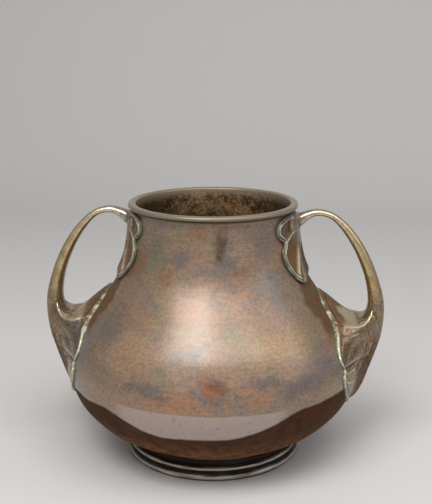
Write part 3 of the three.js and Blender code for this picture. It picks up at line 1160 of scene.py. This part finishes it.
@dataclass(frozen=True)
class BronzeFinish:
    """One patinated bronze finish."""

    name: str
    brown: Colour
    copper: Colour
    olive: Colour
    grey: Colour
    roughness: float
    metallic: float
    coat: float
    coat_roughness: float
    specular: float
    bump: float
    patch_size: float
    shift: float
    relief_depth: float = 0.0004

    def start(self, effects: SharedEffects) -> tuple[bpy.types.Material, Sketch, Found]:
        """Starts the material with its patches and grain.

        Args:
            effects: The shared groups.

        Returns:
            The material, a sketch on its tree, and the named values made so far.
        """
        material = bpy.data.materials.new(self.name)
        material.use_nodes = True
        sketch = Sketch(material.node_tree)
        place = sketch.add("ShaderNodeTexCoord").outputs["Object"]
        grain = sketch.group(effects.grain, {"Place": place})
        sizes = {"Place": place, "Size": self.patch_size, "Shift": self.shift}
        patches = sketch.group(effects.patches, sizes)
        colour = self.brown
        for name, tint in (("Copper", self.copper), ("Olive", self.olive), ("Grey", self.grey)):
            colour = sketch.mix(patches[name], colour, tint)
        found = {
            "place": place,
            "colour": colour,
            "lines": grain["Lines"],
            "grain": grain["Grain"],
            "specks": grain["Specks"],
            "grey": patches["Grey"],
        }
        return material, sketch, found

    def finish(
        self, sketch: Sketch, colour: Socket, rough: Socket, metal: Socket, height: Socket,
        coat: Socket | None = None,
    ) -> None:
        """Feeds the shader.

        Args:
            sketch: Sketch on the material's tree.
            colour: Base colour.
            rough: Roughness.
            metal: Share of bare metal.
            height: Height of the fine relief.
            coat: Share of the waxed gloss, where it changes over the surface.
        """
        shader = sketch.tree.nodes["Principled BSDF"].inputs
        relief = {"Strength": self.bump, "Distance": self.relief_depth, "Height": height}
        sketch.feed(shader["Base Color"], colour)
        sketch.feed(shader["Roughness"], rough)
        sketch.feed(shader["Metallic"], metal)
        sketch.feed(shader["Normal"], sketch.add("ShaderNodeBump", relief).outputs[0])
        sketch.feed(shader["Coat Weight"], self.coat if coat is None else coat)
        shader["Coat Roughness"].default_value = self.coat_roughness
        shader["Specular IOR Level"].default_value = self.specular


@dataclass(frozen=True)
class Stain:
    """A soft-edged stain in the patina: where it lies, in degrees and millimetres, and its tint."""

    angle: float
    height: float
    wide: float
    high: float
    tint: Colour
    strength: float = 0.7

    def centre(self, shape: VesselShape) -> Colour:
        """Its middle on the vessel, in metres. The angle runs from the front towards the right."""
        reach = float(shape.radius(self.height)) * MM
        turn = math.radians(self.angle)
        return (reach * math.sin(turn), -reach * math.cos(turn), self.height * MM)


RUST = (0.27, 0.1, 0.035)
OCHRE = (0.4, 0.25, 0.13)
GREY_GREEN = (0.16, 0.165, 0.11)
LILAC_GREY = (0.15, 0.125, 0.12)
DARK_BROWN = (0.075, 0.04, 0.022)
WARM_BROWN = (0.2, 0.1, 0.04)

STAINS = (
    Stain(10, 193, 6, 22, DARK_BROWN, 0.8),
    Stain(4, 99, 9, 13, RUST, 0.85),
    Stain(6, 104, 6, 8, DARK_BROWN, 0.45),
    Stain(-36, 186, 12, 20, GREY_GREEN, 0.75),
    Stain(-47, 176, 9, 16, RUST, 0.5),
    Stain(36, 124, 30, 16, OCHRE, 0.65),
    Stain(-35, 114, 28, 18, OCHRE, 0.55),
    Stain(39, 93, 30, 8, LILAC_GREY, 0.9),
    Stain(24, 99, 18, 5, LILAC_GREY, 0.8),
    Stain(-20, 92, 18, 6, LILAC_GREY, 0.8),
    Stain(-15, 106, 10, 8, GREY_GREEN, 0.65),
    Stain(-17, 186, 12, 9, LILAC_GREY, 0.8),
    Stain(-6, 205, 12, 7, RUST, 0.55),
    Stain(-26, 168, 9, 8, RUST, 0.5),
    Stain(-14, 170, 9, 8, GREY_GREEN, 0.5),
    Stain(13, 135, 9, 9, GREY_GREEN, 0.4),
    Stain(22, 176, 12, 8, RUST, 0.35),
    Stain(-50, 128, 20, 22, LILAC_GREY, 0.6),
    Stain(42, 195, 16, 14, LILAC_GREY, 0.65),
    Stain(43, 158, 16, 16, LILAC_GREY, 0.65),
    Stain(-60, 104, 14, 20, LILAC_GREY, 0.6),
    Stain(-58, 174, 9, 12, WARM_BROWN, 0.7),
    Stain(28, 190, 12, 10, OCHRE, 0.35),
    Stain(150, 120, 34, 26, LILAC_GREY, 0.6),
    Stain(205, 165, 20, 24, GREY_GREEN, 0.6),
    Stain(235, 100, 30, 14, RUST, 0.4),
)


@dataclass(frozen=True)
class VesselFinish(BronzeFinish):
    """The body's finish: rubbed brown bronze, dark inside, with painted light: a dark band of painted
    reflection and shade under the belly, a pale painted reflection above it, painted handle shade and a
    painted shadow under the rim.

    The heights and spans are in metres.
    """

    # Painted dark reflection and shade under the belly: its colours, and below them the heights of the
    # band's edge.
    under: Colour = (0.035, 0.012, 0.003)
    dark_band_warm: Colour = (0.21, 0.07, 0.012)
    # Painted pale reflection in a band just above the dark band, at the front.
    pale_reflection: Colour = (0.4, 0.325, 0.3)
    # Colour of the painted handle shade beside the handles.
    handle_shade: Colour = (0.09, 0.042, 0.017)
    fleck: Colour = (0.05, 0.033, 0.02)
    damp_green: Colour = (0.07, 0.11, 0.075)
    spot: Colour = (0.34, 0.27, 0.16)
    inside: Colour = (0.22, 0.135, 0.065)
    inside_rust: Colour = (0.2, 0.09, 0.035)
    inside_dark: Colour = (0.03, 0.02, 0.01)
    rim: Colour = (0.22, 0.18, 0.11)
    band_front: float = 0.057
    band_side: float = 0.074
    band_lean: float = 0.004
    band_drift: float = 0.005
    band_soft: float = 0.0012
    pale_reflection_top: float = 0.0785
    pale_reflection_soft: float = 0.0008
    low_span: Span = (0.03, 0.054)
    rim_span: Span = (0.2132, 0.2148)
    dark_ends: Span = (0.028, 0.056)
    stain_wobble: float = 0.03
    stain_span: Span = (0.25, 1.35)
    grain_rough: float = 0.16
    dull_rough: float = 0.15
    dark_band_blotch: Blotch = Blotch(110.0, 9.0, 0.8, (0.38, 0.62))
    inside_blotch: Blotch = Blotch(70.0, 9.0, 0.82, (0.38, 0.62))
    rust_blotch: Blotch = Blotch(45.0, 4.0, 0.6, (0.5, 0.66, 0.0, 0.6))
    spot_blotch: Blotch = Blotch(420.0, 3.0, 0.7, (0.56, 0.68))
    line_shade: Steps = (0.35, 0.65, 0.92, 1.06)
    grain_shade: Steps = (0.34, 0.66, 0.8, 1.16)
    dark_band_grain: Steps = (0.34, 0.6, 0.35, 1.1)
    inside_shade: Steps = (0.36, 0.64, 0.5, 1.25)
    handle_shade_grain: Steps = (0.3, 0.6, 0.7, 1.0)
    rim_shade: Steps = (0.34, 0.62, 0.45, 0.9)

    def zones(self, sketch: Sketch, place: Socket) -> Found:
        """Masks for the parts of the body that differ in patina, and for the painted reflection and
        shade low on the belly.

        Args:
            sketch: Sketch on the material's tree.
            place: Object coordinates.

        Returns:
            The masks, by name.
        """
        axes = sketch.add("ShaderNodeSeparateXYZ", {0: place}).outputs
        wander = sketch.math("SUBTRACT", sketch.noise(place, 22.0, 4.0, 0.6), 0.5)
        height = sketch.plus(axes["Z"], sketch.times(wander, self.band_drift))
        along = sketch.times(axes["X"], axes["X"])
        round_square = sketch.plus(along, sketch.times(axes["Y"], axes["Y"]))
        sideways = sketch.math("DIVIDE", along, round_square)
        turn = sketch.math("DIVIDE", axes["X"], sketch.math("SQRT", round_square))
        # Edge of the painted dark band under the belly, lower at the front than at the sides.
        level = sketch.ramp(sideways, 0.01, 0.42, self.band_front, self.band_side)
        edge = sketch.plus(level, sketch.times(turn, self.band_lean))
        above = sketch.math("SUBTRACT", height, edge)
        # Painted pale reflection: a band just above the dark band, near the front.
        reflection_low, reflection_high = self.pale_reflection_top - self.pale_reflection_soft, self.pale_reflection_top + self.pale_reflection_soft
        below_tide = sketch.ramp(height, reflection_low, reflection_high, 1.0, 0.0)
        near_front = sketch.ramp(sideways, 0.2, 0.34, 1.0, 0.0)
        return {
            "under": sketch.ramp(above, -self.band_soft, self.band_soft, 1.0, 0.0),
            "pale_reflection": sketch.times(below_tide, near_front),
            "low": sketch.ramp(height, *self.low_span, 1.0, 0.0),
            "rim": sketch.ramp(axes["Z"], *self.rim_span),
            "ends": sketch.ramp(sketch.math("ABSOLUTE", axes["X"]), *self.dark_ends),
        }

    def stained(self, sketch: Sketch, place: Socket, colour: Socket) -> Socket:
        """The colour with the stains over it.

        Args:
            sketch: Sketch on the material's tree.
            place: Object coordinates.
            colour: Colour under the stains.

        Returns:
            The stained colour.
        """
        noise = {"Vector": place, "Scale": 45.0, "Detail": 5.0, "Roughness": 0.65}
        wobble = sketch.add("ShaderNodeTexNoise", noise).outputs["Color"]
        centred = sketch.vector("SUBTRACT", wobble, (0.5, 0.5, 0.5))[0]
        moved = sketch.vector("ADD", place, sketch.scaled(centred, self.stain_wobble))[0]
        for stain in STAINS:
            away = sketch.vector("SUBTRACT", moved, stain.centre(VESSEL))[0]
            per = (1 / (stain.wide * MM), 1 / (stain.wide * MM), 1 / (stain.high * MM))
            far = sketch.vector("LENGTH", sketch.vector("MULTIPLY", away, per)[0])["Value"]
            share = sketch.ramp(far, *self.stain_span, stain.strength, 0.0)
            colour = sketch.mix(share, colour, stain.tint)
        return colour

    def painted_dark_band(self, sketch: Sketch, found: Found, low: Socket) -> Socket:
        """Painted dark reflection and shade in a band under the belly, warmer and broken further down.
        """
        blotch = sketch.blotches(found["place"], self.dark_band_blotch)
        fine = sketch.ramp(found["grain"], *self.dark_band_grain)
        return sketch.over(self.under, self.dark_band_warm, sketch.plus(low, 0.25), blotch, fine)

    def hollow(self, sketch: Sketch, found: Found, ends: Socket) -> Socket:
        """The stained colour inside the body.

        Args:
            sketch: Sketch on the material's tree.
            found: Values that the finish starts from.
            ends: Mask for the dark stretches beside the handles.

        Returns:
            The colour.
        """
        blotch = sketch.blotches(found["place"], self.inside_blotch)
        rust = sketch.blotches(found["place"], self.rust_blotch)
        spots = sketch.blotches(found["place"], self.spot_blotch)
        colour = sketch.mix(blotch, self.inside_dark, self.inside)
        colour = sketch.over(colour, self.inside_rust, rust, blotch)
        colour = sketch.scaled(colour, sketch.ramp(found["grain"], *self.inside_shade))
        colour = sketch.over(colour, self.spot, spots, 0.35)
        return sketch.over(colour, self.inside_dark, ends, 0.75)

    def material(self, effects: SharedEffects) -> bpy.types.Material:
        """Builds the material.

        Args:
            effects: The shared groups.

        Returns:
            The material.
        """
        material, sketch, found = self.start(effects)
        grain = found["grain"]
        zones = self.zones(sketch, found["place"])
        groove = sketch.mask("groove")
        within = sketch.mask("within")
        # Painted handle shade, broken by the grain.
        handle_shade = sketch.times(sketch.mask("handle_shade"), sketch.ramp(grain, *self.handle_shade_grain))
        streaks = sketch.ramp(found["lines"], *self.line_shade)
        grains = sketch.ramp(grain, *self.grain_shade)
        colour = self.stained(sketch, found["place"], found["colour"])
        colour = sketch.scaled(colour, sketch.times(streaks, grains))
        colour = sketch.over(colour, self.handle_shade, handle_shade, 0.9)
        # Painted pale reflection just above the dark band.
        colour = sketch.over(colour, self.pale_reflection, zones["pale_reflection"], 0.75)
        under = self.painted_dark_band(sketch, found, zones["low"])
        # Painted dark reflection and shade in the band under the belly.
        colour = sketch.over(colour, under, zones["under"], 0.97)
        colour = sketch.over(colour, self.fleck, found["specks"], 0.4)
        colour = sketch.over(colour, self.rim, zones["rim"], sketch.ramp(grain, *self.rim_shade))
        # Painted shadow under the rim, in the dark inside colour.
        colour = sketch.over(colour, self.inside_dark, groove)
        damp = {"Place": found["place"], "Damp": sketch.mask("near_handle")}
        bloom = sketch.group(effects.verdigris, damp)["Bloom"]
        colour = sketch.over(colour, self.damp_green, bloom, 0.7)
        colour = sketch.over(colour, self.hollow(sketch, found, zones["ends"]), within)
        dull = sketch.most(within, handle_shade, zones["under"], groove)
        least = self.roughness - self.grain_rough / 2
        rough = sketch.plus(least, sketch.times(grain, self.grain_rough))
        rough = sketch.plus(rough, sketch.times(dull, self.dull_rough))
        metal = sketch.ramp(found["grey"], 0.0, 1.0, self.metallic, self.metallic - 0.2)
        metal = sketch.times(metal, sketch.ramp(dull, 0.0, 1.0, 1.0, 0.1))
        coat = sketch.ramp(dull, 0.0, 1.0, self.coat, 0.0)
        relief = sketch.plus(sketch.times(found["lines"], 0.2), sketch.times(grain, 0.3))
        self.finish(sketch, colour, rough, metal, relief, coat)
        return material


@dataclass(frozen=True)
class FootFinish(BronzeFinish):
    """The foot's finish: near black, partly a painted dark reflection in the cove, pale grey along the
    bead crowns as rubbed metal with a painted highlight.
    """

    rubbed: Colour = (0.55, 0.5, 0.45)
    grain_rough: float = 0.15
    dark_metal: float = 0.1

    def material(self, effects: SharedEffects) -> bpy.types.Material:
        """Builds the material.

        Args:
            effects: The shared groups.

        Returns:
            The material.
        """
        material, sketch, found = self.start(effects)
        broken = sketch.ramp(found["lines"], 0.38, 0.62, 0.45, 1.0)
        # Painted highlight with rubbed metal: pale grey along the bead crowns and the top edge.
        shown = sketch.ramp(sketch.times(sketch.mask("crest"), broken), 0.12, 0.8)
        colour = sketch.mix(shown, found["colour"], self.rubbed)
        rough = sketch.plus(self.roughness, sketch.times(found["grain"], self.grain_rough))
        metal = sketch.ramp(shown, 0.0, 1.0, self.dark_metal, self.metallic)
        self.finish(sketch, colour, rough, metal, found["grain"])
        return material


@dataclass(frozen=True)
class HandleFinish(BronzeFinish):
    """The handles' finish: brassy where rubbed, dark patina with painted shade in the hollows and on
    the lower spine, a painted highlight in the scoop, green round the edges.

    The spans are in metres, outwards or upwards.
    """

    brass: Colour = (0.72, 0.6, 0.4)
    ochre: Colour = (0.5, 0.36, 0.15)
    arch: Colour = (0.36, 0.3, 0.26)
    bowl: Colour = (0.21, 0.11, 0.042)
    hollow: Colour = (0.035, 0.02, 0.01)
    green: Colour = (0.06, 0.1, 0.07)
    pale: Colour = (0.42, 0.43, 0.34)
    edge_drift: float = 0.03
    strap_up: Span = (0.132, 0.158)
    strap_out: Span = (0.098, 0.11)
    arch_up: Span = (0.188, 0.2)
    arch_out: Span = (0.098, 0.108)
    trough_highlight_out: Span = (0.106, 0.12)
    trough_highlight_up: Span = (0.128, 0.138)
    dull_rough: float = 0.25
    dull_metal: float = 0.1
    mottle: Blotch = Blotch(150.0, 6.0, 0.7, (0.34, 0.6, 0.35, 1.0))
    crust: Blotch = Blotch(170.0, 6.0, 0.7, (0.38, 0.56, 0.2, 1.0))
    grain_shade: Steps = (0.34, 0.66, 0.6, 1.3)
    worn_shade: Steps = (0.3, 0.6, 0.4, 1.0)

    def zones(self, sketch: Sketch, place: Socket) -> Found:
        """Masks for the parts of the handle that differ in patina, and for the painted highlight in the
        scoop.

        Args:
            sketch: Sketch on the material's tree.
            place: Object coordinates.

        Returns:
            The masks, by name.
        """
        axes = sketch.add("ShaderNodeSeparateXYZ", {0: place}).outputs
        centred = sketch.math("SUBTRACT", sketch.noise(place, 60.0), 0.5)
        wander = sketch.times(centred, self.edge_drift)
        out = sketch.plus(sketch.math("ABSOLUTE", axes["X"]), wander)
        up = sketch.plus(axes["Z"], wander)
        on_arch = sketch.ramp(axes["Z"], *self.arch_up)
        low = sketch.ramp(axes["Z"], *self.trough_highlight_up, 1.0, 0.0)
        return {
            "ochre": sketch.times(sketch.ramp(up, *self.strap_up), sketch.ramp(out, *self.strap_out)),
            "arch": sketch.times(on_arch, sketch.ramp(out, *self.arch_out, 1.0, 0.0)),
            "trough_highlight": sketch.times(sketch.ramp(out, *self.trough_highlight_out), low),
        }

    def material(self, effects: SharedEffects) -> bpy.types.Material:
        """Builds the material.

        Args:
            effects: The shared groups.

        Returns:
            The material.
        """
        material, sketch, found = self.start(effects)
        place, grain = found["place"], found["grain"]
        zones = self.zones(sketch, place)
        hollow_patina_and_shade = sketch.mask("hollow_patina_and_shade")
        spine = sketch.mask("spine")
        # Painted highlight: a glossy brass patch in the scoop near the foot of the strap.
        trough_highlight_mask = sketch.times(sketch.mask("bowl"), zones["trough_highlight"])
        bowl = sketch.math("SUBTRACT", sketch.mask("bowl"), sketch.times(trough_highlight_mask, 0.8))
        mottle = sketch.blotches(place, self.mottle)
        # Colour of the painted shade on the spine: dark brown broken by the grain.
        back = sketch.mix(sketch.ramp(grain, 0.38, 0.66), self.hollow, self.bowl)
        floor = sketch.over(self.hollow, self.bowl, mottle, 0.6)
        colour = sketch.scaled(found["colour"], sketch.ramp(grain, *self.grain_shade))
        colour = sketch.over(colour, self.ochre, zones["ochre"], mottle)
        colour = sketch.over(colour, self.arch, zones["arch"], 0.85)
        # Painted shade on the lower spine.
        colour = sketch.over(colour, back, spine, 0.92)
        colour = sketch.over(colour, floor, bowl, 0.9)
        # Painted highlight in the scoop.
        colour = sketch.over(colour, self.brass, trough_highlight_mask, 0.65)
        colour = sketch.over(colour, self.hollow, found["specks"], 0.7)
        worn = sketch.ramp(grain, *self.worn_shade)
        colour = sketch.over(colour, self.brass, sketch.mask("crest"), worn)
        # Dark patina and painted shade in the hollows.
        colour = sketch.over(colour, self.hollow, hollow_patina_and_shade, 0.9)
        damp = {"Place": place, "Damp": sketch.mask("seam")}
        bloom = sketch.group(effects.verdigris, damp)["Bloom"]
        colour = sketch.over(colour, self.green, bloom, 0.85)
        pale = sketch.times(sketch.mask("rim"), sketch.blotches(place, self.crust))
        colour = sketch.over(colour, self.pale, sketch.ramp(pale, 0.25, 0.8))
        dull = sketch.most(hollow_patina_and_shade, bowl, spine, bloom, pale)
        rough = sketch.plus(self.roughness, sketch.times(dull, self.dull_rough))
        metal = sketch.ramp(dull, 0.0, 1.0, self.metallic, self.dull_metal)
        coat = sketch.ramp(dull, 0.0, 1.0, self.coat, 0.0)
        self.finish(sketch, colour, rough, metal, grain, coat)
        return material


@dataclass(frozen=True)
class SoftLight:
    """One soft rectangular light: where it stands, its width and height, in metres, and its power."""

    name: str
    place: Colour
    size: Span
    watts: float
    tint: Colour


@dataclass
class Studio:
    """Plain pale floor and wall, soft light and the camera, in metres and degrees."""

    floor_colour: Colour = (0.62, 0.61, 0.6)
    floor_roughness: float = 0.75
    floor_reach: float = 9.0
    wall_distance: float = 1.5
    wall_reach: float = 14.0
    wall_height: float = 3.0
    cove: float = 0.5
    cove_steps: int = 12
    camera_place: Colour = (0.0694, -0.7659, 0.364)
    camera_pitch: float = 76.22
    camera_turn: float = 5.0
    lens: float = 66.2
    film_width: float = 36.0
    aim: Colour = (0.0, 0.0, 0.11)
    sky_colour: Colour = (0.86, 0.87, 0.9)
    sky_strength: float = 0.38
    lights: tuple[SoftLight, ...] = (
        SoftLight("window", (-0.38, -0.93, 1.36), (0.85, 0.6), 13.0, (1.0, 0.98, 0.95)),
        SoftLight("ceiling", (0.35, -0.8, 1.6), (1.5, 1.0), 16.0, (1.0, 0.98, 0.96)),
        SoftLight("side", (1.6, -0.3, 1.2), (0.9, 0.9), 5.0, (0.97, 0.98, 1.0)),
    )

    def backdrop(self) -> None:
        """Floor that curves up into a wall behind the vase."""
        start = self.wall_distance - self.cove
        curve = [(-self.floor_reach, 0.0), (start, 0.0)]
        for i in range(1, self.cove_steps + 1):
            turn = math.radians(90 * i / self.cove_steps)
            curve.append((start + self.cove * math.sin(turn), self.cove - self.cove * math.cos(turn)))
        curve.append((self.wall_distance, self.wall_height))
        points, faces = [], []
        for y, z in curve:
            points += [(-self.wall_reach, y, z), (self.wall_reach, y, z)]
        for i in range(len(curve) - 1):
            faces.append((2 * i, 2 * i + 1, 2 * i + 3, 2 * i + 2))
        thing = mesh_object("backdrop", np.array(points), faces)
        material = bpy.data.materials.new("pale floor")
        material.use_nodes = True
        shader = material.node_tree.nodes["Principled BSDF"].inputs
        shader["Base Color"].default_value = (*self.floor_colour, 1.0)
        shader["Roughness"].default_value = self.floor_roughness
        thing.data.materials.append(material)

    def light(self, lamp: SoftLight) -> None:
        """Hangs one light, turned to the vase.

        Args:
            lamp: Its sizes, place and power.
        """
        data = bpy.data.lights.new(lamp.name, "AREA")
        data.shape = "RECTANGLE"
        data.size, data.size_y = lamp.size
        data.energy = lamp.watts
        data.color = lamp.tint
        thing = bpy.data.objects.new(lamp.name, data)
        thing.location = lamp.place
        aim = Vector(self.aim) - Vector(lamp.place)
        thing.rotation_euler = aim.to_track_quat("-Z", "Y").to_euler()
        thing.visible_camera = False
        bpy.context.scene.collection.objects.link(thing)

    def sky(self) -> None:
        """Soft even light from all round."""
        world = bpy.data.worlds.new("studio")
        world.use_nodes = True
        back = world.node_tree.nodes["Background"].inputs
        back["Color"].default_value = (*self.sky_colour, 1.0)
        back["Strength"].default_value = self.sky_strength
        bpy.context.scene.world = world

    def camera(self) -> None:
        """The camera, at the photograph's viewing angle."""
        data = bpy.data.cameras.new("camera")
        data.sensor_width = self.film_width
        data.lens = self.lens
        data.clip_start = 0.01
        thing = bpy.data.objects.new("camera", data)
        thing.location = self.camera_place
        pitch, turn = math.radians(self.camera_pitch), math.radians(self.camera_turn)
        thing.rotation_euler = (pitch, 0.0, turn)
        bpy.context.scene.collection.objects.link(thing)
        bpy.context.scene.camera = thing

    def build(self) -> None:
        """Sets the stage."""
        self.camera()
        self.sky()
        self.backdrop()
        for lamp in self.lights:
            self.light(lamp)
        bpy.context.scene.view_settings.view_transform = "Standard"


VESSEL_FINISH = VesselFinish(
    name="rubbed brown bronze",
    brown=(0.28, 0.185, 0.125), copper=(0.36, 0.185, 0.105),
    olive=(0.235, 0.2, 0.12), grey=(0.16, 0.14, 0.13),
    roughness=0.52, metallic=0.5, coat=1.0, coat_roughness=0.27, specular=0.08,
    bump=0.12, patch_size=1.0, shift=0.0,
)
FOOT_FINISH = FootFinish(
    name="dark foot bronze",
    brown=(0.02, 0.012, 0.007), copper=(0.03, 0.015, 0.007),
    olive=(0.025, 0.022, 0.016), grey=(0.04, 0.04, 0.035),
    roughness=0.36, metallic=0.8, coat=0.0, coat_roughness=0.3, specular=0.12,
    bump=0.12, patch_size=1.6, shift=4.0,
)
HANDLE_FINISH = HandleFinish(
    name="rubbed handle bronze",
    brown=(0.27, 0.19, 0.125), copper=(0.29, 0.17, 0.09),
    olive=(0.31, 0.25, 0.14), grey=(0.24, 0.205, 0.18),
    roughness=0.32, metallic=0.85, coat=0.2, coat_roughness=0.25, specular=0.25,
    bump=0.3, patch_size=2.2, shift=9.0,
)


def dress(thing: Thing, slot: Slot, material: bpy.types.Material, *nodes: str) -> None:
    """Gives a piece its finish, its body and the solids that it stands for.

    Args:
        thing: The piece.
        slot: The record's material slot; not used.
        material: Its finish.
        nodes: Names of the solids that it replaces.
    """
    thing.data.materials.clear()
    thing.data.materials.append(material)
    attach(thing, BODY)
    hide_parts(*nodes)
    log.info("%s: %d corners, %d faces", thing.name, len(thing.data.vertices), len(thing.data.polygons))


def main() -> None:
    """Builds the vase piece by piece and sets the stage."""
    logging.basicConfig(level=logging.INFO, format="%(name)s %(message)s")
    Studio().build()
    effects = SharedEffects.made()
    handles = []
    handle_material = HANDLE_FINISH.material(effects)
    for side in Side:
        handle = LeafHandle(side).build()
        dress(handle, Slot.HANDLE, handle_material, "handle_" + side.name.lower())
        handles.append(handle)
    turned_vessel = TurnedVessel()
    vessel = turned_vessel.build()
    turned_vessel.stain_near(vessel, handles)
    dress(vessel, Slot.BODY, VESSEL_FINISH.material(effects), "vase_body")
    foot = TurnedFoot().build()
    dress(foot, Slot.FOOT, FOOT_FINISH.material(effects), "foot_ring")


if __name__ == "__main__":
    main()
